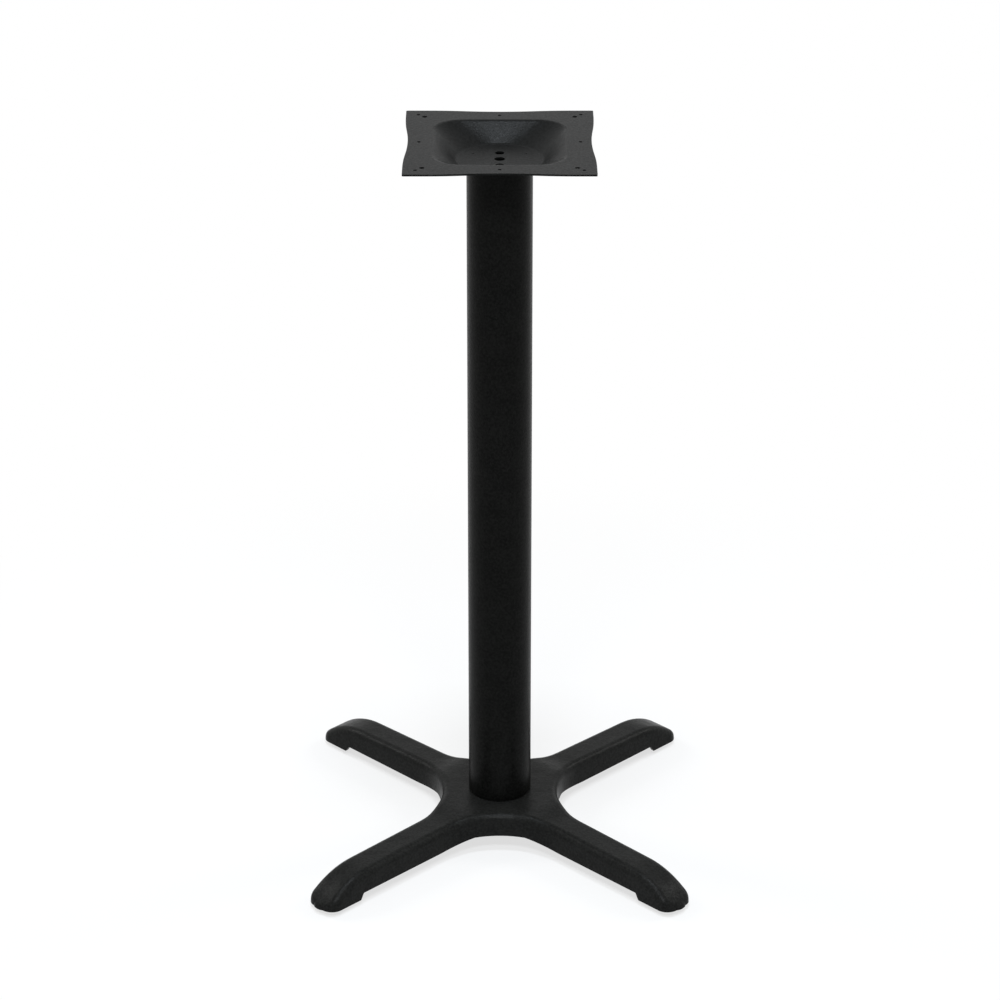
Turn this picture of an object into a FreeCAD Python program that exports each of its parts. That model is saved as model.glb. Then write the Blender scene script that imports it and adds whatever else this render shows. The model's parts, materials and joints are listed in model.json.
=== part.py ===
import FreeCAD, Part
import math
import os

from FreeCAD import Vector

# Four-leg cast iron table base with a tube column and a pressed steel top plate.
# Millimetres, +Z up. The origin is on the floor under the column's axis.
# The legs point along the diagonals of X and Y, and the top plate's sides lie along X and Y.

# Overall
OVERALL_HEIGHT = 1041.0
LEG_COUNT = 4
FIRST_LEG_ANGLE = 45.0

# Cross base casting: plan at its lower rim
LEG_REACH = 359.0
LEG_HALF_WIDTH = 27.7
WEB_REACH = 86.5
TIP_CORNER_RADIUS = 18.0
TIP_BULGE = 3.0

# Cross base casting: heights and draft
HUB_TOP = 57.0
FOOT_RIM = 8.0
SKIRT_RIM = 17.0
WEB_RIM = 25.0
WALL_DRAFT = 4.0
HUB_FLAT_REACH = 78.0
LEG_SHOULDER_REACH = 128.0
LEG_SHOULDER_HEIGHT = 52.0
TOE_RUN = 83.0
TOE_START_HEIGHT = 48.5
TOE_END_HEIGHT = 11.0
TOP_EDGE_RADIUS = 11.0
WEB_RIM_RADIUS = 97.0
WEB_RIM_MID_RADIUS = 115.0
WEB_RIM_MID_HEIGHT = 20.6
SKIRT_START_RADIUS = 146.0
HEEL_FROM_TIP = 64.0
HEEL_RUN = 6.0

# Cross base casting: inside
CAST_WALL = 5.5
HUB_PAD_RADIUS = 47.0
HUB_PAD_THICKNESS = 15.0
RIB_THICKNESS = 5.0
RIB_UNDERSIDE = 30.0
SEAT_HEIGHT = 3.0
SEAT_INSET = 1.1

# Column
COLUMN_DIAMETER = 88.9
COLUMN_WALL = 2.0
FOOT_DISC_THICKNESS = 14.0
FOOT_DISC_CLEARANCE = 0.2
FOOT_DISC_RECESS = 3.2
FOOT_WELD_LEG = 2.8

# Top plate
SIDE_ANGLES = (0.0, 90.0, 180.0, 270.0)
SIDE_TO_CORNER = 45.0
PLATE_SIDE = 254.0
SHEET = 2.5
PLATE_CORNER_RADIUS = 2.0
SIDE_DRAW_IN = 4.8
SIDE_DRAW_MARGIN = 29.0
PAN_MARGIN = 38.5
PAN_CORNER_RADIUS = 38.0
PAN_FLOOR_RADIUS = 59.0
PAN_DEPTH = 24.0
PAN_RIM_BEND = 5.0
PAN_FLOOR_BEND = 6.0
SMALL_CORNER_MARGIN = 17.0
SMALL_CORNER_DIAMETER = 5.0
LARGE_CORNER_MARGIN = 25.5
LARGE_CORNER_DIAMETER = 7.0
MID_SIDE_MARGIN = 19.5
MID_SIDE_DIAMETER = 5.0
PAN_CENTRE_DIAMETER = 14.3
PAN_SIDE_HOLE_DIAMETER = 12.5
PAN_SIDE_HOLE_OFFSET = 24.0
PLATE_WELD_LEG = 4.5

# Pips pressed down out of the pan's floor, which centre the tube for welding
PIP_ANGLES = (30.0, 150.0, 270.0)
PIP_RADIUS = 1.4
PIP_HEIGHT = 1.0
PIP_CLEARANCE = 0.1
PIP_DIMPLE_RADIUS = 1.3
PIP_DIMPLE_DEPTH = 1.3

# Hub bolts, M8 by 35, with a spring washer and a plain washer above each head
BOLT_COUNT = 4
BOLT_CIRCLE_RADIUS = 27.0
BOLT_DIAMETER = 8.0
BOLT_HOLE_DIAMETER = 9.0
BOLT_TAP_CLEARANCE = 0.05
BOLT_HEAD_FLATS = 13.0
BOLT_HEAD_HEIGHT = 5.3
BOLT_HEAD_CHAMFER_ANGLE = 30.0
BOLT_LENGTH = 35.0
BOLT_POINT = 1.0
WASHER_DIAMETER = 17.0
WASHER_BORE = 8.4
WASHER_THICKNESS = 1.6
SPRING_WASHER_DIAMETER = 14.8
SPRING_WASHER_BORE = 8.3
SPRING_WASHER_THICKNESS = 2.0
SPRING_WASHER_GAP = 1.2
SPRING_WASHER_CUT_ANGLE = 20.0

# Levelling glides: an M8 stud whose hexagon collar turns on a nylon pad
GLIDE_FROM_TIP = 24.0
GLIDE_PAD_DIAMETER = 27.0
GLIDE_PAD_HEIGHT = 7.0
GLIDE_PAD_EDGE = 1.2
GLIDE_COLLAR_FLATS = 13.0
GLIDE_COLLAR_HEIGHT = 4.0
GLIDE_STUD_DIAMETER = 8.0
GLIDE_STUD_LENGTH = 13.0
GLIDE_STUD_POINT = 1.0
GLIDE_TAP_CLEARANCE = 0.05
GLIDE_TAP_SPARE_DEPTH = 1.5
GLIDE_BOSS_RADIUS = 11.0
GLIDE_SPIGOT_RADIUS = 4.4
GLIDE_SPIGOT_LENGTH = 4.5
GLIDE_BEAD_PROUD = 0.6
GLIDE_BEAD_LOW = 1.0
GLIDE_BEAD_HIGH = 2.6
GLIDE_SOCKET_CLEARANCE = 0.05
GLIDE_SOCKET_SPARE_DEPTH = 0.3

# Places worked out from the sizes above
TOE_START_REACH = LEG_REACH - TOE_RUN
HEEL_START_RADIUS = LEG_REACH - HEEL_FROM_TIP
HEEL_END_RADIUS = HEEL_START_RADIUS + HEEL_RUN
GLIDE_DISTANCE = LEG_REACH - GLIDE_FROM_TIP
COLUMN_RADIUS = COLUMN_DIAMETER / 2.0
COLUMN_BORE_RADIUS = COLUMN_RADIUS - COLUMN_WALL
COLUMN_BOTTOM = HUB_TOP + SEAT_HEIGHT
SEAT_RADIUS = COLUMN_RADIUS - SEAT_INSET
HALF_PLATE = PLATE_SIDE / 2.0
HALF_PAN = HALF_PLATE - PAN_MARGIN
PAN_FLOOR_TOP = OVERALL_HEIGHT - PAN_DEPTH
COLUMN_TOP = PAN_FLOOR_TOP - SHEET
FOOT_DISC_RADIUS = COLUMN_BORE_RADIUS - FOOT_DISC_CLEARANCE
FOOT_DISC_BOTTOM = COLUMN_BOTTOM + FOOT_DISC_RECESS
HUB_PAD_UNDERSIDE = COLUMN_BOTTOM - HUB_PAD_THICKNESS
GLIDE_COLLAR_TOP = GLIDE_PAD_HEIGHT + GLIDE_COLLAR_HEIGHT
GLIDE_BOSS_UNDERSIDE = GLIDE_COLLAR_TOP
DRAFT_RUN_PER_HEIGHT = math.tan(math.radians(WALL_DRAFT))
HALF_LEG_STEP = 180.0 / LEG_COUNT
CUT_MARGIN = 5.0
LEVEL_TOLERANCE = 0.01
Z_AXIS = Vector(0, 0, 1)


def leg_angles():
    return [FIRST_LEG_ANGLE + 2.0 * HALF_LEG_STEP * k for k in range(LEG_COUNT)]


def polar(radius, degrees, z=0.0):
    angle = math.radians(degrees)
    return Vector(radius * math.cos(angle), radius * math.sin(angle), z)


def turned(shape, degrees):
    copy = shape.copy()
    copy.rotate(Vector(0, 0, 0), Z_AXIS, degrees)
    return copy


def cylinder(radius, z_low, z_high, centre=Vector(0, 0, 0)):
    start = Vector(centre.x, centre.y, z_low)
    return Part.makeCylinder(radius, z_high - z_low, start, Z_AXIS)


def revolved(points):
    """Turn a closed outline of (radius, z) points about the column's axis."""
    corners = [Vector(r, 0, z) for r, z in points]
    face = Part.Face(Part.makePolygon(corners + corners[:1]))
    return face.revolve(Vector(0, 0, 0), Z_AXIS, 360)


def hexagon_corner(flats):
    """Distance from a hexagon's middle to its corners, from the distance across its flats."""
    return flats / math.sqrt(3.0)


def hexagon_prism(flats, z_low, z_high, centre):
    corner_radius = hexagon_corner(flats)
    corners = [centre + polar(corner_radius, 60.0 * k, z_low) for k in range(6)]
    face = Part.Face(Part.makePolygon(corners + corners[:1]))
    return face.extrude(Vector(0, 0, z_high - z_low))


def fused(shapes):
    whole = shapes[0].multiFuse(shapes[1:])
    return whole.removeSplitter()


def cross_outline(inset, z):
    """One closed outline of the four legs, moved in by inset all round, at height z.

    A leg has straight sides, a round corner each side of a slightly bulged tip, and a
    concave arc joins each side to the next leg's.
    """
    half_width = LEG_HALF_WIDTH - inset
    tip = LEG_REACH - inset
    web_reach = WEB_REACH - inset
    corner = TIP_CORNER_RADIUS - min(inset, TIP_CORNER_RADIUS / 2.0)
    half_turn = math.radians(HALF_LEG_STEP)
    web_radius = (web_reach * math.sin(half_turn) - half_width) / (1.0 - math.sin(half_turn))
    web_start = (half_width + web_radius) / math.tan(half_turn)
    side_end = tip - TIP_BULGE - corner
    corner_mid = corner * (1.0 - math.sqrt(0.5))
    edges = []
    for angle in leg_angles():
        along = polar(1.0, angle)
        across = polar(1.0, angle + 90.0)

        def place(s, t):
            return along * s + across * t + Z_AXIS * z

        right = place(side_end + corner, corner - half_width)
        left = place(side_end + corner, half_width - corner)
        right_mid = place(side_end + corner - corner_mid, corner_mid - half_width)
        left_mid = place(side_end + corner - corner_mid, half_width - corner_mid)
        edges.append(Part.LineSegment(place(web_start, -half_width), place(side_end, -half_width)))
        edges.append(Part.Arc(place(side_end, -half_width), right_mid, right))
        edges.append(Part.Arc(right, place(tip, 0.0), left))
        edges.append(Part.Arc(left, left_mid, place(side_end, half_width)))
        edges.append(Part.LineSegment(place(side_end, half_width), place(web_start, half_width)))
        next_across = polar(1.0, angle + 2.0 * HALF_LEG_STEP + 90.0)
        next_along = polar(1.0, angle + 2.0 * HALF_LEG_STEP)
        web_mid = polar(web_reach, angle + HALF_LEG_STEP, z)
        next_start = next_along * web_start - next_across * half_width + Z_AXIS * z
        edges.append(Part.Arc(place(web_start, half_width), web_mid, next_start))
    return Part.Wire([edge.toShape() for edge in edges])


def walled_solid(low, high):
    """Solid between two outlines of matching edges: flat walls between lines, ruled walls between arcs."""
    faces = [Part.Face(low), Part.Face(high)]
    for below, above in zip(low.OrderedEdges, high.OrderedEdges):
        if below.Curve.TypeId == "Part::GeomLine":
            corners = [below.firstVertex(True).Point, below.lastVertex(True).Point]
            corners += [above.lastVertex(True).Point, above.firstVertex(True).Point]
            faces.append(Part.Face(Part.makePolygon(corners + corners[:1])))
        else:
            faces.append(Part.makeRuledSurface(below, above))
    shell = Part.makeShell(faces)
    shell.sewShape()
    solid = Part.makeSolid(Part.Shell(shell.Faces))
    if solid.Volume < 0.0:
        solid.reverse()
    return solid


def drafted_cross(inset):
    """The four-leg plan drawn up past the hub's top, leaning in by the wall draft."""
    z_high = HUB_TOP + CUT_MARGIN
    lean = z_high * DRAFT_RUN_PER_HEIGHT
    return walled_solid(cross_outline(inset, 0.0), cross_outline(inset + lean, z_high))


def ogee(start, end, end_slope):
    """Two arcs of one radius: level at start, curving down and back to end_slope at end."""
    run = end.x - start.x
    ratio = (start.z - end.z) / run
    mean = (1.0 + math.cos(end_slope) + ratio * math.sin(end_slope)) / 2.0
    steepest = math.atan(ratio) + math.acos(mean / math.hypot(1.0, ratio))
    radius = run / (2.0 * math.sin(steepest) - math.sin(end_slope))

    def on_convex(angle):
        return start + Vector(radius * math.sin(angle), 0, radius * (math.cos(angle) - 1.0))

    def on_concave(angle):
        x = radius * (math.sin(end_slope) - math.sin(angle))
        z = radius * (math.cos(angle) - math.cos(end_slope))
        return end + Vector(x, 0, -z)

    joint = on_convex(steepest)
    half_way = (steepest + end_slope) / 2.0
    return [
        Part.Arc(start, on_convex(steepest / 2.0), joint),
        Part.Arc(joint, on_concave(half_way), end),
    ]


def tangent_arc(start, slope, end):
    """Arc that leaves start going down at slope and ends at end."""
    run = end.x - start.x
    fall = start.z - end.z
    along = run * math.cos(slope) + fall * math.sin(slope)
    down = fall * math.cos(slope) - run * math.sin(slope)
    radius = (along * along + down * down) / (2.0 * down)
    mid_turn = slope + math.atan2(down, along)
    mid_x = radius * (math.sin(mid_turn) - math.sin(slope))
    mid_z = radius * (math.cos(slope) - math.cos(mid_turn))
    return Part.Arc(start, start + Vector(mid_x, 0, -mid_z), end)


def top_envelope(drop):
    """What lies under the top surface, lowered by drop: one long profile for each leg's direction.

    Each profile is level over the hub, dips to the leg, falls gently and curves down at the toe.
    """
    hub_edge = Vector(HUB_FLAT_REACH, 0, HUB_TOP - drop)
    shoulder = Vector(LEG_SHOULDER_REACH, 0, LEG_SHOULDER_HEIGHT - drop)
    toe = Vector(TOE_START_REACH, 0, TOE_START_HEIGHT - drop)
    toe_end = Vector(LEG_REACH, 0, TOE_END_HEIGHT - drop)
    slope = math.atan((shoulder.z - toe.z) / (toe.x - shoulder.x))
    low_end = Vector(LEG_REACH, 0, -CUT_MARGIN)
    low_back = Vector(-LEG_REACH, 0, -CUT_MARGIN)
    high_back = Vector(-LEG_REACH, 0, HUB_TOP - drop)
    curves = ogee(hub_edge, shoulder, slope)
    curves.append(Part.LineSegment(shoulder, toe))
    curves.append(tangent_arc(toe, slope, toe_end))
    curves.append(Part.LineSegment(toe_end, low_end))
    curves.append(Part.LineSegment(low_end, low_back))
    curves.append(Part.LineSegment(low_back, high_back))
    curves.append(Part.LineSegment(high_back, hub_edge))
    profile = Part.Face(Part.Wire([curve.toShape() for curve in curves]))
    profile.translate(Vector(0, -LEG_REACH, 0))
    slab = profile.extrude(Vector(0, 2.0 * LEG_REACH, 0))
    slabs = [turned(slab, angle) for angle in leg_angles()]
    whole = slabs[0]
    for other in slabs[1:]:
        whole = whole.common(other)
    return whole.removeSplitter()


def rounded_top(block):
    """Round every edge where the drafted walls meet the top surface."""
    picked = []
    for edge in block.Edges:
        faces = block.ancestorsOfType(edge, Part.Face)
        if len(faces) == 2 and looks_up(faces[0]) != looks_up(faces[1]):
            picked.append(edge)
    return block.makeFillet(TOP_EDGE_RADIUS, picked)


def looks_up(face):
    """True for a face whose middle looks up by more than the drafted walls do."""
    u_low, u_high, v_low, v_high = face.ParameterRange
    normal = face.normalAt((u_low + u_high) / 2.0, (v_low + v_high) / 2.0)
    return normal.z > 2.0 * math.sin(math.radians(WALL_DRAFT))


def bossed_cavity():
    """The hollow under the casting, less the hub pad, the leg ribs and the glide bosses."""
    cavity = drafted_cross(CAST_WALL).common(top_envelope(CAST_WALL))
    kept = [cylinder(HUB_PAD_RADIUS, HUB_PAD_UNDERSIDE, HUB_TOP)]
    rib_height = HUB_TOP - RIB_UNDERSIDE
    for angle in leg_angles():
        rib = Part.makeBox(GLIDE_DISTANCE, RIB_THICKNESS, rib_height)
        rib.translate(Vector(0, -RIB_THICKNESS / 2.0, RIB_UNDERSIDE))
        core = cylinder(HUB_PAD_RADIUS - CUT_MARGIN, 0.0, HUB_TOP)
        kept.append(turned(rib.cut(core), angle))
        centre = polar(GLIDE_DISTANCE, angle)
        kept.append(cylinder(GLIDE_BOSS_RADIUS, GLIDE_BOSS_UNDERSIDE, HUB_TOP, centre))
    return cavity.cut(kept)


def underside_cut():
    """Everything under the casting's rim: arched at the webs, low at the feet."""
    outside = LEG_REACH + CUT_MARGIN
    below = -CUT_MARGIN
    web_end = Vector(WEB_RIM_RADIUS, 0, WEB_RIM)
    skirt_start = Vector(SKIRT_START_RADIUS, 0, SKIRT_RIM)
    arch_mid = Vector(WEB_RIM_MID_RADIUS, 0, WEB_RIM_MID_HEIGHT)
    corners = [
        skirt_start,
        Vector(HEEL_START_RADIUS, 0, SKIRT_RIM),
        Vector(HEEL_END_RADIUS, 0, FOOT_RIM),
        Vector(outside, 0, FOOT_RIM),
        Vector(outside, 0, below),
        Vector(0, 0, below),
        Vector(0, 0, WEB_RIM),
        web_end,
    ]
    edges = [Part.Arc(web_end, arch_mid, skirt_start).toShape()]
    for start, end in zip(corners, corners[1:]):
        edges.append(Part.LineSegment(start, end).toShape())
    return Part.Face(Part.Wire(edges)).revolve(Vector(0, 0, 0), Z_AXIS, 360)


def bolt_places():
    step = 360.0 / BOLT_COUNT
    return [polar(BOLT_CIRCLE_RADIUS, FIRST_LEG_ANGLE + step * k) for k in range(BOLT_COUNT)]


def glide_places():
    return [polar(GLIDE_DISTANCE, angle) for angle in leg_angles()]


def cross_base():
    """The four-leg casting: a drafted, hollow cross with its holes and column seat."""
    block = drafted_cross(0.0).common(top_envelope(0.0))
    seat = cylinder(SEAT_RADIUS, HUB_PAD_UNDERSIDE, COLUMN_BOTTOM)
    body = rounded_top(block).cut([bossed_cavity(), underside_cut()]).fuse(seat)
    holes = []
    for place in bolt_places():
        holes.append(cylinder(BOLT_HOLE_DIAMETER / 2.0, RIB_UNDERSIDE, COLUMN_BOTTOM, place))
    tap_radius = GLIDE_STUD_DIAMETER / 2.0 + GLIDE_TAP_CLEARANCE
    tap_top = GLIDE_BOSS_UNDERSIDE + GLIDE_STUD_LENGTH + GLIDE_TAP_SPARE_DEPTH
    for place in glide_places():
        holes.append(cylinder(tap_radius, FOOT_RIM, tap_top, place))
    return body.cut(holes)


def column_tube():
    outside = cylinder(COLUMN_RADIUS, COLUMN_BOTTOM, COLUMN_TOP)
    return outside.cut(cylinder(COLUMN_BORE_RADIUS, COLUMN_BOTTOM, COLUMN_TOP))


def column_foot_disc():
    """The thick disc inside the tube's foot, tapped for the hub bolts."""
    top = FOOT_DISC_BOTTOM + FOOT_DISC_THICKNESS
    disc = cylinder(FOOT_DISC_RADIUS, FOOT_DISC_BOTTOM, top)
    tap_radius = BOLT_DIAMETER / 2.0 + BOLT_TAP_CLEARANCE
    return disc.cut([cylinder(tap_radius, FOOT_DISC_BOTTOM, top, place) for place in bolt_places()])


def foot_disc_weld():
    """Fillet weld in the corner between the tube's bore and the disc's underside."""
    outer = COLUMN_BORE_RADIUS
    inner = outer - FOOT_WELD_LEG
    return revolved(
        [
            (inner, FOOT_DISC_BOTTOM),
            (outer, FOOT_DISC_BOTTOM),
            (outer, FOOT_DISC_BOTTOM - FOOT_WELD_LEG),
        ]
    )


def plate_weld():
    """Fillet weld in the corner between the tube's top and the pan's floor."""
    return revolved(
        [
            (COLUMN_RADIUS, COLUMN_TOP),
            (COLUMN_RADIUS, COLUMN_TOP - PLATE_WELD_LEG),
            (COLUMN_RADIUS + PLATE_WELD_LEG, COLUMN_TOP),
        ]
    )


def drawn_in_side(z):
    """Three arcs that swing the +X side in to its middle from straight ends, as the pressing pulls it."""
    run = (HALF_PLATE - SIDE_DRAW_MARGIN) / 2.0
    fall = SIDE_DRAW_IN / 2.0
    radius = (run * run + fall * fall) / (2.0 * fall)
    half_turn = math.asin(run / radius) / 2.0
    mid_in = radius * (1.0 - math.cos(half_turn))
    mid_along = 2.0 * run - radius * math.sin(half_turn)
    low = Vector(HALF_PLATE, -2.0 * run, z)
    low_joint = Vector(HALF_PLATE - fall, -run, z)
    high_joint = Vector(HALF_PLATE - fall, run, z)
    high = Vector(HALF_PLATE, 2.0 * run, z)
    return [
        Part.Arc(low, Vector(HALF_PLATE - mid_in, -mid_along, z), low_joint),
        Part.Arc(low_joint, Vector(HALF_PLATE - SIDE_DRAW_IN, 0, z), high_joint),
        Part.Arc(high_joint, Vector(HALF_PLATE - mid_in, mid_along, z), high),
    ]


def plate_outline(z):
    """The rim's square, with each side drawn in at its middle by the pressing of the pan."""
    corner_start = HALF_PLATE - PLATE_CORNER_RADIUS
    corner_mid = HALF_PLATE - PLATE_CORNER_RADIUS * (1.0 - math.sqrt(0.5))
    bay_end = HALF_PLATE - SIDE_DRAW_MARGIN
    side = [Part.LineSegment(Vector(HALF_PLATE, -corner_start, z), Vector(HALF_PLATE, -bay_end, z))]
    side += drawn_in_side(z)
    side.append(Part.LineSegment(Vector(HALF_PLATE, bay_end, z), Vector(HALF_PLATE, corner_start, z)))
    around = Vector(corner_mid, corner_mid, z)
    side.append(Part.Arc(Vector(HALF_PLATE, corner_start, z), around, Vector(corner_start, HALF_PLATE, z)))
    quarters = [turned(curve.toShape(), angle) for angle in SIDE_ANGLES for curve in side]
    return Part.Wire(quarters)


def pan_rim_outline(z):
    """Rounded square, as a line and a corner arc for each quarter."""
    flat = HALF_PAN - PAN_CORNER_RADIUS
    mid = flat + PAN_CORNER_RADIUS * math.sqrt(0.5)
    edges = []
    for angle in SIDE_ANGLES:
        quarter = FreeCAD.Rotation(Z_AXIS, angle)
        low = quarter.multVec(Vector(HALF_PAN, -flat, z))
        high = quarter.multVec(Vector(HALF_PAN, flat, z))
        around = quarter.multVec(Vector(mid, mid, z))
        next_low = quarter.multVec(Vector(flat, HALF_PAN, z))
        edges.append(Part.LineSegment(low, high).toShape())
        edges.append(Part.Arc(high, around, next_low).toShape())
    return Part.Wire(edges)


def pan_floor_outline(z):
    """Circle, as eight arcs that stand under the rim's lines and corner arcs."""
    half_arc = SIDE_TO_CORNER / 2.0
    edges = []
    for side in SIDE_ANGLES:
        for middle in (side, side + SIDE_TO_CORNER):
            start = polar(PAN_FLOOR_RADIUS, middle - half_arc, z)
            crest = polar(PAN_FLOOR_RADIUS, middle, z)
            end = polar(PAN_FLOOR_RADIUS, middle + half_arc, z)
            edges.append(Part.Arc(start, crest, end).toShape())
    return Part.Wire(edges)


def pan_block(drop):
    """The solid inside the pan's walls, lowered by drop."""
    rim = pan_rim_outline(OVERALL_HEIGHT - drop)
    floor = pan_floor_outline(PAN_FLOOR_TOP - drop)
    return Part.makeLoft([rim, floor], True, True)


def edges_at(shape, z, reach):
    """Edges that lie whole at height z and within reach of the axis along X and Y."""
    found = []
    for edge in shape.Edges:
        box = edge.BoundBox
        level = abs(box.ZMin - z) < LEVEL_TOLERANCE and abs(box.ZMax - z) < LEVEL_TOLERANCE
        within = max(box.XMax, -box.XMin, box.YMax, -box.YMin) < reach
        if level and within:
            found.append(edge)
    return found


def bent_pan():
    """The pressed sheet: flat rim and deep pan in one thickness, with its bends rounded."""
    rim = Part.Face(plate_outline(OVERALL_HEIGHT - SHEET)).extrude(Vector(0, 0, SHEET))
    sheet = rim.fuse(pan_block(SHEET)).cut(pan_block(0.0)).removeSplitter()
    reach = HALF_PAN + CUT_MARGIN
    bends = (
        (OVERALL_HEIGHT, PAN_RIM_BEND + SHEET),
        (OVERALL_HEIGHT - SHEET, PAN_RIM_BEND),
        (PAN_FLOOR_TOP, PAN_FLOOR_BEND),
        (PAN_FLOOR_TOP - SHEET, PAN_FLOOR_BEND + SHEET),
    )
    for z, radius in bends:
        sheet = sheet.makeFillet(radius, edges_at(sheet, z, reach))
    return sheet


def plate_holes():
    """Screw holes in the rim and the three holes in the pan's floor."""
    low = OVERALL_HEIGHT - SHEET
    high = OVERALL_HEIGHT
    holes = []
    for angle in SIDE_ANGLES:
        corner = angle + SIDE_TO_CORNER
        small = polar((HALF_PLATE - SMALL_CORNER_MARGIN) * math.sqrt(2.0), corner)
        large = polar((HALF_PLATE - LARGE_CORNER_MARGIN) * math.sqrt(2.0), corner)
        side = polar(HALF_PLATE - MID_SIDE_MARGIN, angle)
        holes.append(cylinder(SMALL_CORNER_DIAMETER / 2.0, low, high, small))
        holes.append(cylinder(LARGE_CORNER_DIAMETER / 2.0, low, high, large))
        holes.append(cylinder(MID_SIDE_DIAMETER / 2.0, low, high, side))
    holes.append(cylinder(PAN_CENTRE_DIAMETER / 2.0, COLUMN_TOP, PAN_FLOOR_TOP))
    for y in (-PAN_SIDE_HOLE_OFFSET, PAN_SIDE_HOLE_OFFSET):
        place = Vector(0, y, 0)
        holes.append(cylinder(PAN_SIDE_HOLE_DIAMETER / 2.0, COLUMN_TOP, PAN_FLOOR_TOP, place))
    return holes


def top_plate():
    """The pressed steel plate, with its holes and the pips that centre the tube."""
    pip_circle = COLUMN_BORE_RADIUS - PIP_RADIUS - PIP_CLEARANCE
    pips = []
    dimples = []
    for angle in PIP_ANGLES:
        place = polar(pip_circle, angle)
        pips.append(cylinder(PIP_RADIUS, COLUMN_TOP - PIP_HEIGHT, PAN_FLOOR_TOP - PIP_HEIGHT, place))
        dimples.append(cylinder(PIP_DIMPLE_RADIUS, PAN_FLOOR_TOP - PIP_DIMPLE_DEPTH, PAN_FLOOR_TOP, place))
    return bent_pan().multiFuse(pips).cut(dimples + plate_holes()).removeSplitter()


def hexagon_head(flats, z_low, z_high, centre):
    """A hexagon whose lower corners are turned off at the chamfer angle."""
    prism = hexagon_prism(flats, z_low, z_high, centre)
    corner_radius = hexagon_corner(flats)
    rise = (corner_radius - flats / 2.0) * math.tan(math.radians(BOLT_HEAD_CHAMFER_ANGLE))
    turned_blank = Part.makeCone(
        flats / 2.0, corner_radius, rise, Vector(centre.x, centre.y, z_low), Z_AXIS
    )
    upper = cylinder(corner_radius, z_low + rise, z_high, centre)
    return prism.common(turned_blank.fuse(upper))


def pointed_shank(radius, z_low, z_high, point, centre):
    """A plain round shank with a chamfered upper end."""
    shank = cylinder(radius, z_low, z_high - point, centre)
    base = Vector(centre.x, centre.y, z_high - point)
    return shank.fuse(Part.makeCone(radius, radius - point, point, base, Z_AXIS))


def hub_bolt(place):
    seat = HUB_PAD_UNDERSIDE - WASHER_THICKNESS - SPRING_WASHER_THICKNESS
    head = hexagon_head(BOLT_HEAD_FLATS, seat - BOLT_HEAD_HEIGHT, seat, place)
    shank = pointed_shank(BOLT_DIAMETER / 2.0, seat, seat + BOLT_LENGTH, BOLT_POINT, place)
    return head.fuse(shank).removeSplitter()


def hub_washer(place):
    low = HUB_PAD_UNDERSIDE - WASHER_THICKNESS
    ring = cylinder(WASHER_DIAMETER / 2.0, low, HUB_PAD_UNDERSIDE, place)
    return ring.cut(cylinder(WASHER_BORE / 2.0, low, HUB_PAD_UNDERSIDE, place))


def hub_spring_washer(place):
    """A split ring, pressed flat, with its slanted cut facing away from the axis."""
    high = HUB_PAD_UNDERSIDE - WASHER_THICKNESS
    low = high - SPRING_WASHER_THICKNESS
    ring = cylinder(SPRING_WASHER_DIAMETER / 2.0, low, high, place)
    ring = ring.cut(cylinder(SPRING_WASHER_BORE / 2.0, low, high, place))
    cut_height = SPRING_WASHER_THICKNESS + 2.0 * CUT_MARGIN
    slot = Part.makeBox(SPRING_WASHER_DIAMETER, SPRING_WASHER_GAP, cut_height)
    slot.translate(Vector(0, -SPRING_WASHER_GAP / 2.0, -cut_height / 2.0))
    slot.rotate(Vector(0, 0, 0), Vector(1, 0, 0), SPRING_WASHER_CUT_ANGLE)
    slot.rotate(Vector(0, 0, 0), Z_AXIS, math.degrees(math.atan2(place.y, place.x)))
    slot.translate(Vector(place.x, place.y, (low + high) / 2.0))
    return ring.cut(slot)


def spigot_heights():
    """Heights of the spigot's foot and of its bead's lower edge, crest and upper edge."""
    foot = GLIDE_PAD_HEIGHT - GLIDE_SPIGOT_LENGTH
    bead_low = foot + GLIDE_BEAD_LOW
    bead_high = foot + GLIDE_BEAD_HIGH
    return foot, bead_low, (bead_low + bead_high) / 2.0, bead_high


def glide_stud(place):
    """Stud with its hexagon collar, and below it the beaded spigot that snaps into the pad."""
    spigot_low, bead_low, bead_mid, bead_high = spigot_heights()
    spigot = revolved(
        [
            (0.0, spigot_low),
            (GLIDE_SPIGOT_RADIUS, spigot_low),
            (GLIDE_SPIGOT_RADIUS, bead_low),
            (GLIDE_SPIGOT_RADIUS + GLIDE_BEAD_PROUD, bead_mid),
            (GLIDE_SPIGOT_RADIUS, bead_high),
            (GLIDE_SPIGOT_RADIUS, GLIDE_PAD_HEIGHT),
            (0.0, GLIDE_PAD_HEIGHT),
        ]
    )
    spigot.translate(place)
    collar = hexagon_prism(GLIDE_COLLAR_FLATS, GLIDE_PAD_HEIGHT, GLIDE_COLLAR_TOP, place)
    stud_top = GLIDE_COLLAR_TOP + GLIDE_STUD_LENGTH
    shank = pointed_shank(GLIDE_STUD_DIAMETER / 2.0, GLIDE_COLLAR_TOP, stud_top, GLIDE_STUD_POINT, place)
    return fused([spigot, collar, shank])


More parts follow.
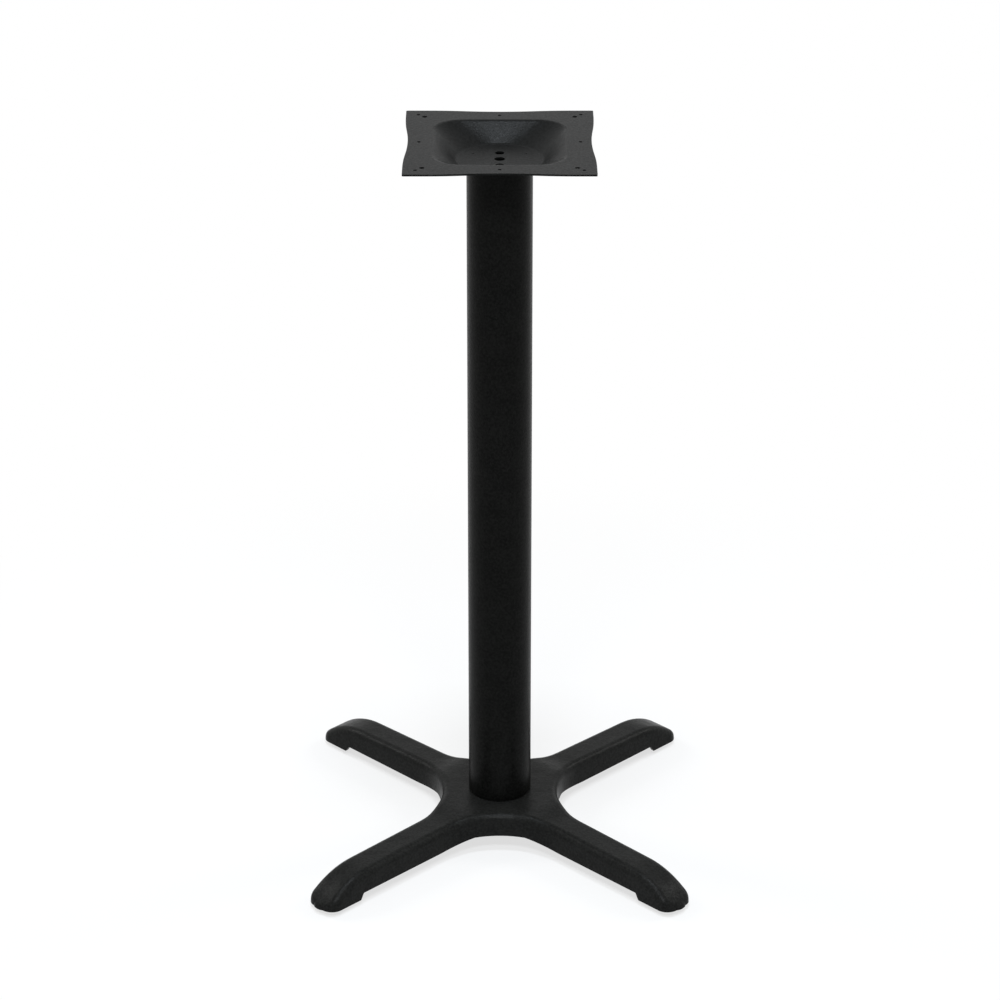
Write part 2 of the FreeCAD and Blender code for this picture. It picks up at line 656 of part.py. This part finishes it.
def glide_pad(place):
    """Round nylon pad with the socket that holds the stud's spigot."""
    radius = GLIDE_PAD_DIAMETER / 2.0
    socket = GLIDE_SPIGOT_RADIUS + GLIDE_SOCKET_CLEARANCE
    spigot_low, bead_low, bead_mid, bead_high = spigot_heights()
    socket_low = spigot_low - GLIDE_SOCKET_SPARE_DEPTH
    pad = revolved(
        [
            (0.0, 0.0),
            (radius - GLIDE_PAD_EDGE, 0.0),
            (radius, GLIDE_PAD_EDGE),
            (radius, GLIDE_PAD_HEIGHT),
            (socket, GLIDE_PAD_HEIGHT),
            (socket, bead_high),
            (socket + GLIDE_BEAD_PROUD, bead_mid),
            (socket, bead_low),
            (socket, socket_low),
            (0.0, socket_low),
        ]
    )
    pad.translate(place)
    return pad


def main():
    nodes = {
        "cross_base": cross_base(),
        "column_tube": column_tube(),
        "column_foot_disc": column_foot_disc(),
        "foot_disc_weld": foot_disc_weld(),
        "top_plate": top_plate(),
        "plate_weld": plate_weld(),
        "hub_bolts": Part.makeCompound([hub_bolt(place) for place in bolt_places()]),
        "hub_washers": Part.makeCompound([hub_washer(place) for place in bolt_places()]),
        "hub_spring_washers": Part.makeCompound([hub_spring_washer(place) for place in bolt_places()]),
    }
    for number, place in enumerate(glide_places(), start=1):
        nodes["glide_stud_%d" % number] = glide_stud(place)
        nodes["glide_pad_%d" % number] = glide_pad(place)
    os.makedirs("parts", exist_ok=True)
    for name, shape in nodes.items():
        shape.exportStep("parts/%s.step" % name)


main()
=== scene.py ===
"""Finishes, small pieces, light and camera of the four star table base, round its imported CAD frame.

Lengths are in metres and angles in degrees. The casting, column and top plate are shown as the CAD
makes them, with procedural finishes. The plate's weld and the glides' threaded studs are built here.
"""

import json
import math

import bpy
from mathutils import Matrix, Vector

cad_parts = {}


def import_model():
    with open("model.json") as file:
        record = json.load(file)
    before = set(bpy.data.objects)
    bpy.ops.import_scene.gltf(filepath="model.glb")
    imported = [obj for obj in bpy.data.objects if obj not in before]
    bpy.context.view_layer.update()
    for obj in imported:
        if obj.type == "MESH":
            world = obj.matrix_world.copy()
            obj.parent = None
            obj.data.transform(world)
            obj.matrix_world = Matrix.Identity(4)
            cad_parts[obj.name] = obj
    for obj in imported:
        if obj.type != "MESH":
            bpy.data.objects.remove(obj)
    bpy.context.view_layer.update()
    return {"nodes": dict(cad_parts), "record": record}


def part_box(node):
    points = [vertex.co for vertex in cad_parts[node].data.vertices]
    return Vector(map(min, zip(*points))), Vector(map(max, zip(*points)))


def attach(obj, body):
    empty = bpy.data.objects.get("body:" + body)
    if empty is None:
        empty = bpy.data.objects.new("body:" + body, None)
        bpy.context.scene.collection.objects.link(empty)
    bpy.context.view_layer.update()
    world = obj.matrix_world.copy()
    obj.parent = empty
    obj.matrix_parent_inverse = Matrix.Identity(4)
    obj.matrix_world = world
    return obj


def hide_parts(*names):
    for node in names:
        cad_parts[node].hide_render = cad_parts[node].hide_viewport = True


# Camera, as the photograph was taken: level sideways, looking down on the part from in front.
CAMERA_PLACE = (0.0004, -4.4502, 2.61376)
CAMERA_PITCH = 25.2453
CAMERA_LENS = 127.35
CAMERA_SENSOR = 36.0
CAMERA_FAR = 100.0

# Floor, and the white that the camera, gloss and glass see in it and behind the part. The share of
# white grows with the distance from the part over FLOOR_WHITE_REACH, so its shadow shows beside it.
FLOOR_SIDE = 60.0
FLOOR_COLOUR = (0.9, 0.9, 0.9)
FLOOR_WHITE_NEAR = 0.70
FLOOR_WHITE_FAR = 1.0
FLOOR_WHITE_REACH = (0.45, 1.2)
BACKDROP_WHITE = 1.0
WORLD_WHITE = 1.0

# World light: dimmer in front of the part, brighter behind and above it. The spread is of the sum of
# a direction's backward and upward parts.
WORLD_FRONT = (0.12, 0.12, 0.12)
WORLD_BACK = (0.32, 0.33, 0.34)
WORLD_SPREAD = (0.0, 1.0)

# Lamps: (name, place, aimed at, width, height, watts, colour).
LAMPS = [
    ("high_softbox", (0.0, -0.6, 4.6), (0.0, 0.0, 0.8), 1.3, 0.6, 86.0, (0.86, 0.93, 1.0)),
    ("front_softbox", (0.0, -2.9, 4.0), (0.0, 0.0, 0.2), 1.8, 0.7, 98.0, (0.93, 0.97, 1.0)),
    ("left_strip", (-2.3, 1.1, 1.9), (0.0, 0.0, 0.3), 0.7, 1.1, 25.0, (1.0, 0.99, 0.96)),
    ("right_strip", (2.3, 1.1, 1.9), (0.0, 0.0, 0.3), 0.7, 1.1, 22.0, (1.0, 0.99, 0.96)),
]

# Noise: its usual detail, and the middle of its range, where nearly all of its values lie.
NOISE_DETAIL = 2.0
NOISE_SPREAD = (0.3, 0.7)

# Black powder coat: two close tones in slow patches and a speckle, a fine grain and an orange-peel
# skin. The photograph shows the tube darkest, the plate glossiest and the casting palest. Tube, plate
# and casting wear one coat, so the tube's darker tones are painted shade and the plate's and casting's
# lighter tones are painted light.
TUBE_COAT_PAINTED_SHADE = {"colours": ((0.0028, 0.0029, 0.0026), (0.0074, 0.0075, 0.0069)), "specular": 0.04}
CAST_COAT_PAINTED_LIGHT = {"colours": ((0.0074, 0.0075, 0.0071), (0.0146, 0.0148, 0.0140)), "specular": 0.05}
PLATE_COAT_PAINTED_LIGHT = {"colours": ((0.0046, 0.0048, 0.0046), (0.0092, 0.0095, 0.0092)), "specular": 0.056}
COAT_ROUGHNESS = (0.28, 0.38)
COAT_TONE_SIZE = 0.035
COAT_TONE_DETAIL = 3.0
SPECKLE_SIZE = 0.0032
SPECKLE_SHARE = 0.75
SPECKLE_SPREAD = (0.38, 0.62)
GRAIN_SIZE = 0.0015
GRAIN_DEPTH = 0.00018
PEEL_SIZE = 0.0034
PEEL_DEPTH = 0.00018

# The casting's own skin under the coat: slow waves left by the sand mould.
CAST_WAVE_SIZE = 0.022
CAST_WAVE_DEPTH = 0.0008

# Plated and bare steel, brushed along one axis of the part.
ZINC_COLOURS = ((0.48, 0.48, 0.45), (0.66, 0.66, 0.64))
ZINC_ROUGHNESS = (0.24, 0.42)
BARE_STEEL_COLOURS = ((0.26, 0.25, 0.24), (0.42, 0.41, 0.40))
BARE_STEEL_ROUGHNESS = (0.35, 0.6)
BRUSH_SIZE = 0.0006
BRUSH_STRETCH = 0.04
METAL_SPOT_SIZE = 0.004
METAL_SPOT_DETAIL = 4.0
METAL_GRAIN_DEPTH = 0.000006
AXES = "XYZ"

# Moulded nylon of the glides' pads.
NYLON_COLOURS = ((0.010, 0.010, 0.010), (0.022, 0.022, 0.022))
NYLON_ROUGHNESS = (0.42, 0.58)
NYLON_GRAIN_SIZE = 0.0005
NYLON_GRAIN_DEPTH = 0.00003
SCUFF_SIZE = 0.004
SCUFF_DETAIL = 5.0
FLOOR_WEAR_HEIGHT = 0.0012
FLOOR_WEAR_COLOUR = (0.06, 0.058, 0.055)

# Weld bead under the top plate. Its root sinks into plate and tube by WELD_SETTLE.
WELD_RIPPLES = 176
WELD_STEPS_PER_RIPPLE = 6
WELD_SECTION_POINTS = 9
WELD_CROWN = 0.0004
WELD_RIPPLE_DEPTH = 0.00022
WELD_CRESCENT = 0.9
WELD_SETTLE = 0.0006

# Threaded stud and hexagon collar of each glide. At its upper and lower edge the collar's corners
# are cut back by COLLAR_CORNER_CUT, over the height of COLLAR_CHAMFER.
THREAD_PITCH = 0.00125
THREAD_DEPTH = 0.00072
THREAD_RADIUS = 0.004
THREAD_CREST_SHARE = 0.16
THREAD_ROOT_SHARE = 0.22
THREAD_END_CHAMFER = 0.0009
THREAD_ROWS_PER_PITCH = 10
RELIEF_HEIGHT = 0.0006
SPIGOT_RADIUS = 0.004
COLLAR_ACROSS_FLATS = 0.013
COLLAR_HEIGHT = 0.004
COLLAR_CHAMFER = 0.0005
COLLAR_CORNER_CUT = 0.001
STUD_SEGMENTS = 72

# Edges sharper than this stay sharp in the smooth pieces.
SMOOTH_ANGLE = 32.0

BODY = "base"
GLIDE_NUMBERS = (1, 2, 3, 4)


# Node helpers


def new_tree(name):
    """A new material, its node tree, its surface shader and the place on the piece, in metres."""
    material = bpy.data.materials.new(name)
    material.use_nodes = True
    tree = material.node_tree
    shader = tree.nodes["Principled BSDF"]
    place = tree.nodes.new("ShaderNodeTexCoord").outputs["Object"]
    return material, tree, shader, place


def noise(tree, place, size, detail=NOISE_DETAIL):
    """Noise with features about size across."""
    node = tree.nodes.new("ShaderNodeTexNoise")
    node.inputs["Scale"].default_value = 1.0 / size
    node.inputs["Detail"].default_value = detail
    tree.links.new(place, node.inputs["Vector"])
    return node.outputs["Fac"]


def stretched(tree, place, scale):
    """The place, scaled along each axis, for a texture that is drawn out one way."""
    node = tree.nodes.new("ShaderNodeMapping")
    node.inputs["Scale"].default_value = scale
    tree.links.new(place, node.inputs["Vector"])
    return node.outputs["Vector"]


def tones(tree, factor, dark, light, spread=NOISE_SPREAD):
    """Colour between dark and light as factor crosses spread."""
    node = tree.nodes.new("ShaderNodeValToRGB")
    low, high = node.color_ramp.elements
    low.position, high.position = spread
    low.color = (*dark, 1.0)
    high.color = (*light, 1.0)
    tree.links.new(factor, node.inputs["Fac"])
    return node.outputs["Color"]


def spanned(tree, factor, low, high, spread=NOISE_SPREAD):
    """Number between low and high as factor crosses spread."""
    node = tree.nodes.new("ShaderNodeMapRange")
    start, end = spread
    node.inputs["From Min"].default_value = start
    node.inputs["From Max"].default_value = end
    node.inputs["To Min"].default_value = low
    node.inputs["To Max"].default_value = high
    tree.links.new(factor, node.inputs["Value"])
    return node.outputs["Result"]


def combined(tree, operation, first, second):
    """Result of a math node on two sockets or plain numbers."""
    node = tree.nodes.new("ShaderNodeMath")
    node.operation = operation
    for socket, value in zip(node.inputs, (first, second)):
        if isinstance(value, float):
            socket.default_value = value
        else:
            tree.links.new(value, socket)
    return node.outputs["Value"]


def weighted(tree, first, second, share):
    """Mean of two sockets, with share of the second."""
    kept = combined(tree, "MULTIPLY", first, 1.0 - share)
    return combined(tree, "ADD", kept, combined(tree, "MULTIPLY", second, share))


def bumped(tree, shader, heights):
    """Stack one bump for each (height, depth in metres) on the shader's normal."""
    normal = None
    for height, depth in heights:
        node = tree.nodes.new("ShaderNodeBump")
        node.inputs["Distance"].default_value = depth
        tree.links.new(height, node.inputs["Height"])
        if normal is not None:
            tree.links.new(normal, node.inputs["Normal"])
        normal = node.outputs["Normal"]
    tree.links.new(normal, shader.inputs["Normal"])


# Finishes


def powder_coat(name, coat, extra_bumps=()):
    """Fine textured black powder coat. extra_bumps are (size, depth) of what shows through it."""
    material, tree, shader, place = new_tree(name)
    slow = noise(tree, place, COAT_TONE_SIZE, COAT_TONE_DETAIL)
    speckle = noise(tree, place, SPECKLE_SIZE)
    grain = noise(tree, place, GRAIN_SIZE)
    peel = noise(tree, place, PEEL_SIZE)
    mottle = weighted(tree, slow, speckle, SPECKLE_SHARE)
    # The coat's tones hold its part's painted light (casting, plate) and painted shade (tube, weld).
    colour = tones(tree, mottle, *coat["colours"], spread=SPECKLE_SPREAD)
    tree.links.new(colour, shader.inputs["Base Color"])
    tree.links.new(spanned(tree, peel, *COAT_ROUGHNESS), shader.inputs["Roughness"])
    shader.inputs["Specular IOR Level"].default_value = coat["specular"]
    heights = [(noise(tree, place, size), depth) for size, depth in extra_bumps]
    heights += [(peel, PEEL_DEPTH), (grain, GRAIN_DEPTH)]
    bumped(tree, shader, heights)
    return material


def plain_metal(name, colours, roughness, brushed_along):
    """Bare or plated steel with brushing drawn out along one axis and faint spots."""
    material, tree, shader, place = new_tree(name)
    scale = [BRUSH_STRETCH if axis == brushed_along else 1.0 for axis in AXES]
    brush = noise(tree, stretched(tree, place, scale), BRUSH_SIZE)
    spots = noise(tree, place, METAL_SPOT_SIZE, METAL_SPOT_DETAIL)
    tree.links.new(tones(tree, spots, *colours), shader.inputs["Base Color"])
    tree.links.new(spanned(tree, brush, *roughness), shader.inputs["Roughness"])
    shader.inputs["Metallic"].default_value = 1.0
    bumped(tree, shader, [(brush, METAL_GRAIN_DEPTH)])
    return material


def moulded_nylon(name):
    """Black moulded nylon with a fine skin, scuffed grey where it stands on the floor."""
    material, tree, shader, place = new_tree(name)
    grain = noise(tree, place, NYLON_GRAIN_SIZE)
    scuffs = noise(tree, place, SCUFF_SIZE, SCUFF_DETAIL)
    split = tree.nodes.new("ShaderNodeSeparateXYZ")
    tree.links.new(place, split.inputs["Vector"])
    near_floor = spanned(tree, split.outputs["Z"], 0.0, 1.0, spread=(FLOOR_WEAR_HEIGHT, 0.0))
    mix = tree.nodes.new("ShaderNodeMixRGB")
    mix.inputs["Color2"].default_value = (*FLOOR_WEAR_COLOUR, 1.0)
    tree.links.new(combined(tree, "MULTIPLY", near_floor, scuffs), mix.inputs["Fac"])
    tree.links.new(tones(tree, scuffs, *NYLON_COLOURS), mix.inputs["Color1"])
    tree.links.new(mix.outputs["Color"], shader.inputs["Base Color"])
    tree.links.new(spanned(tree, scuffs, *NYLON_ROUGHNESS), shader.inputs["Roughness"])
    bumped(tree, shader, [(grain, NYLON_GRAIN_DEPTH)])
    return material


def make_finishes():
    """One material for each slot of the record. The plate's own coat is made with its node."""
    return {
        # The casting's coat is lightened as painted light.
        "cast_base": powder_coat("cast_base_coat_painted_light", CAST_COAT_PAINTED_LIGHT, [(CAST_WAVE_SIZE, CAST_WAVE_DEPTH)]),
        # The tube's and the weld's coat is darkened as painted shade.
        "coated_steel": powder_coat("tube_coat_painted_shade", TUBE_COAT_PAINTED_SHADE),
        "weld": powder_coat("weld_coat_painted_shade", TUBE_COAT_PAINTED_SHADE),
        "inner_weld": plain_metal("inner_weld_metal", BARE_STEEL_COLOURS, BARE_STEEL_ROUGHNESS, "Z"),
        "bare_steel": plain_metal("bare_steel_metal", BARE_STEEL_COLOURS, BARE_STEEL_ROUGHNESS, "X"),
        "zinc": plain_metal("zinc_plate", ZINC_COLOURS, ZINC_ROUGHNESS, "Z"),
        "glide_nylon": moulded_nylon("glide_nylon_skin"),
    }


def set_finish(piece, material):
    """Give a piece one material, in place of any that it came with."""
    piece.data.materials.clear()
    piece.data.materials.append(material)


def finish_cad_nodes(frame, finishes):
    """Give every CAD node the finish of its slot in the record, and the plate its own coat."""
    for row in frame["record"]["subparts"]:
        set_finish(frame["nodes"][row["node"]], finishes[row["material_slot"]])
    # The plate's own copy of the coat is lightened as painted light.
    set_finish(frame["nodes"]["top_plate"], powder_coat("plate_coat_painted_light", PLATE_COAT_PAINTED_LIGHT))


# Pieces built here


def ring_mesh(name, rings, closed_along):
    """Smooth mesh through closed rings of points. Where it isn't closed along, both ends are capped."""
    across = len(rings[0])
    points = [point for ring in rings for point in ring]
    faces = []
    for i in range(len(rings) if closed_along else len(rings) - 1):
        j = (i + 1) % len(rings)
        for k in range(across):
            m = (k + 1) % across
            faces.append((i * across + k, i * across + m, j * across + m, j * across + k))
    if not closed_along:
        faces.append(tuple(range(across))[::-1])
        faces.append(tuple((len(rings) - 1) * across + k for k in range(across)))
    mesh = bpy.data.meshes.new(name)
    mesh.from_pydata(points, [], faces)
    mesh.update()
    mesh.shade_smooth()
    mesh.set_sharp_from_angle(angle=math.radians(SMOOTH_ANGLE))
    piece = bpy.data.objects.new(name, mesh)
    bpy.context.scene.collection.objects.link(piece)
    return piece


def place_piece(piece, body, node, material):
    """The piece stands for a CAD node, rides on its body and takes its slot's finish."""
    set_finish(piece, material)
    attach(piece, body)
    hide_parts(node)


def weld_section(root, leg, phase):
    """The bead's section at one place, as (radius, height): its root, then plate toe to tube toe."""
    radius, height = root
    points = [(radius - WELD_SETTLE, height + WELD_SETTLE)]
    for i in range(WELD_SECTION_POINTS):
        share = i / (WELD_SECTION_POINTS - 1)
        middle = math.sin(math.pi * share)
        ripple = 0.5 + 0.5 * math.sin(phase + WELD_CRESCENT * math.pi * middle)
        proud = middle * (WELD_CROWN - WELD_RIPPLE_DEPTH * ripple) * math.sqrt(0.5)
        out = leg * (1.0 - share) + proud
        down = leg * share + proud
        points.append((radius + out, height - down))
    return points


def rippled_weld(name, tube, bead):
    """Fillet weld round the tube's top, with the crescents that each pass of the torch leaves."""
    radius = tube[1].x
    height = bead[1].z
    leg = height - bead[0].z
    rings = []
    steps = WELD_RIPPLES * WELD_STEPS_PER_RIPPLE
    for i in range(steps):
        angle = 2.0 * math.pi * i / steps
        phase = 2.0 * math.pi * i / WELD_STEPS_PER_RIPPLE
        section = weld_section((radius, height), leg, phase)
        rings.append([(r * math.cos(angle), r * math.sin(angle), z) for r, z in section])
    return ring_mesh(name, rings, closed_along=True)


def thread_radius(height, angle, low, high):
    """Radius of a right-hand thread at a height and angle, chamfered at its upper end."""
    turn = (height / THREAD_PITCH - angle / (2.0 * math.pi)) % 1.0
    from_crest = abs(turn - 0.5) * 2.0
    slope = (from_crest - THREAD_CREST_SHARE) / (1.0 - THREAD_CREST_SHARE - THREAD_ROOT_SHARE)
    radius = THREAD_RADIUS - THREAD_DEPTH * min(1.0, max(0.0, slope))
    run_out = min(1.0, (height - low) / THREAD_PITCH)
    radius = THREAD_RADIUS - (THREAD_RADIUS - radius) * run_out
    end = THREAD_RADIUS - THREAD_END_CHAMFER + (high - height)
    return min(radius, end)


def hexagon_radius(angle):
    """Distance from the middle to the side of the hexagon collar at an angle."""
    sixth = math.pi / 3.0
    return 0.5 * COLLAR_ACROSS_FLATS / math.cos((angle % sixth) - 0.5 * sixth)


def chamfered_hexagon_radius(angle):
    """The same at the collar's upper and lower edge, where its corners are cut back."""
    return min(hexagon_radius(angle), hexagon_radius(0.0) - COLLAR_CORNER_CUT)


def ring_at(centre, height, radius_at):
    """Ring of points at a height, with the radius that radius_at gives for each angle."""
    ring = []
    for i in range(STUD_SEGMENTS):
        angle = 2.0 * math.pi * i / STUD_SEGMENTS
        radius = radius_at(angle)
        ring.append((centre.x + radius * math.cos(angle), centre.y + radius * math.sin(angle), height))
    return ring


def threaded_stud(name, stud, pad_top):
    """Spigot, hexagon collar and threaded shank of one glide, as one piece."""
    centre = (stud[0] + stud[1]) * 0.5
    collar_top = pad_top + COLLAR_HEIGHT

    def round_of(radius):
        return lambda angle: radius

    rings = [
        ring_at(centre, stud[0].z, round_of(SPIGOT_RADIUS)),
        ring_at(centre, pad_top, round_of(SPIGOT_RADIUS)),
        ring_at(centre, pad_top, chamfered_hexagon_radius),
        ring_at(centre, pad_top + COLLAR_CHAMFER, hexagon_radius),
        ring_at(centre, collar_top - COLLAR_CHAMFER, hexagon_radius),
        ring_at(centre, collar_top, chamfered_hexagon_radius),
        ring_at(centre, collar_top, round_of(THREAD_RADIUS)),
    ]
    low = collar_top + RELIEF_HEIGHT
    high = stud[1].z
    rows = round((high - low) / THREAD_PITCH * THREAD_ROWS_PER_PITCH)
    for i in range(rows + 1):
        height = low + (high - low) * i / rows
        rings.append(ring_at(centre, height, lambda angle: thread_radius(height, angle, low, high)))
    piece = ring_mesh(name, rings, closed_along=False)
    # Spigot and collar are shaded flat, so that the hexagon's sides look plane.
    for face in piece.data.polygons:
        face.use_smooth = face.center.z > collar_top
    return piece


def make_pieces(finishes):
    """The weld under the plate and the four glide studs."""
    weld = rippled_weld("plate_weld_bead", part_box("column_tube"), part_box("plate_weld"))
    place_piece(weld, BODY, "plate_weld", finishes["weld"])
    for number in GLIDE_NUMBERS:
        node = f"glide_stud_{number}"
        pad_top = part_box(f"glide_pad_{number}")[1].z
        stud = threaded_stud(f"glide_thread_{number}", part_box(node), pad_top)
        place_piece(stud, node, node, finishes["zinc"])


# Stage, light and camera


def white_for_camera(tree, surface, share):
    """The surface, mixed with plain white light by share for camera, glossy and transmission rays."""
    path = tree.nodes.new("ShaderNodeLightPath")
    seen = combined(tree, "MAXIMUM", path.outputs["Is Camera Ray"], path.outputs["Is Glossy Ray"])
    seen = combined(tree, "MAXIMUM", seen, path.outputs["Is Transmission Ray"])
    portion = combined(tree, "MULTIPLY", seen, share)
    white = tree.nodes.new("ShaderNodeEmission")
    white.inputs["Strength"].default_value = BACKDROP_WHITE
    mix = tree.nodes.new("ShaderNodeMixShader")
    tree.links.new(portion, mix.inputs["Fac"])
    tree.links.new(surface, mix.inputs[1])
    tree.links.new(white.outputs["Emission"], mix.inputs[2])
    return mix.outputs["Shader"]


def make_floor():
    """Plain pale floor that runs out of the picture and keeps the part's soft shadow."""
    half = FLOOR_SIDE / 2.0
    corners = [(-half, -half, 0.0), (half, -half, 0.0), (half, half, 0.0), (-half, half, 0.0)]
    mesh = bpy.data.meshes.new("floor")
    mesh.from_pydata(corners, [], [(0, 1, 2, 3)])
    floor = bpy.data.objects.new("floor", mesh)
    bpy.context.scene.collection.objects.link(floor)
    material, tree, shader, place = new_tree("floor_paint")
    shader.inputs["Base Color"].default_value = (*FLOOR_COLOUR, 1.0)
    shader.inputs["Roughness"].default_value = 1.0
    shader.inputs["Specular IOR Level"].default_value = 0.0
    length = tree.nodes.new("ShaderNodeVectorMath")
    length.operation = "LENGTH"
    tree.links.new(place, length.inputs[0])
    distance = length.outputs["Value"]
    share = spanned(tree, distance, FLOOR_WHITE_NEAR, FLOOR_WHITE_FAR, spread=FLOOR_WHITE_REACH)
    surface = white_for_camera(tree, shader.outputs["BSDF"], share)
    tree.links.new(surface, tree.nodes["Material Output"].inputs["Surface"])
    mesh.materials.append(material)


def make_world():
    """White to camera, gloss and glass. As light it is dim in front, brighter behind and above."""
    world = bpy.data.worlds.new("studio")
    bpy.context.scene.world = world
    world.use_nodes = True
    tree = world.node_tree
    direction = tree.nodes.new("ShaderNodeTexCoord").outputs["Generated"]
    split = tree.nodes.new("ShaderNodeSeparateXYZ")
    tree.links.new(direction, split.inputs["Vector"])
    behind = combined(tree, "ADD", split.outputs["Y"], split.outputs["Z"])
    background = tree.nodes["Background"]
    light = tones(tree, behind, WORLD_FRONT, WORLD_BACK, spread=WORLD_SPREAD)
    tree.links.new(light, background.inputs["Color"])
    surface = white_for_camera(tree, background.outputs["Background"], WORLD_WHITE)
    tree.links.new(surface, tree.nodes["World Output"].inputs["Surface"])


def aim(thing, place, target):
    """Put a lamp or camera at a place, looking at a target."""
    thing.location = place
    x, y, z = (t - p for t, p in zip(target, place))
    thing.rotation_euler = (math.atan2(math.hypot(x, y), -z), 0.0, math.atan2(-x, y))


def make_lamps():
    """Soft area lamps."""
    for name, place, target, width, height, watts, colour in LAMPS:
        data = bpy.data.lights.new(name, "AREA")
        data.shape = "RECTANGLE"
        data.size = width
        data.size_y = height
        data.energy = watts
        data.color = colour
        lamp = bpy.data.objects.new(name, data)
        bpy.context.scene.collection.objects.link(lamp)
        aim(lamp, place, target)


def make_camera():
    """Camera at the photograph's place and angle."""
    data = bpy.data.cameras.new("camera")
    data.lens = CAMERA_LENS
    data.sensor_width = CAMERA_SENSOR
    data.clip_end = CAMERA_FAR
    camera = bpy.data.objects.new("camera", data)
    bpy.context.scene.collection.objects.link(camera)
    camera.location = CAMERA_PLACE
    camera.rotation_euler = (math.radians(90.0 - CAMERA_PITCH), 0.0, 0.0)
    bpy.context.scene.camera = camera


def write_sizes():
    """Bring the scene's view layer up to date."""
    bpy.context.view_layer.update()


def main():
    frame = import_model()
    bpy.context.scene.view_settings.view_transform = "Standard"
    finishes = make_finishes()
    finish_cad_nodes(frame, finishes)
    make_pieces(finishes)
    make_floor()
    make_world()
    make_lamps()
    make_camera()
    write_sizes()


main()
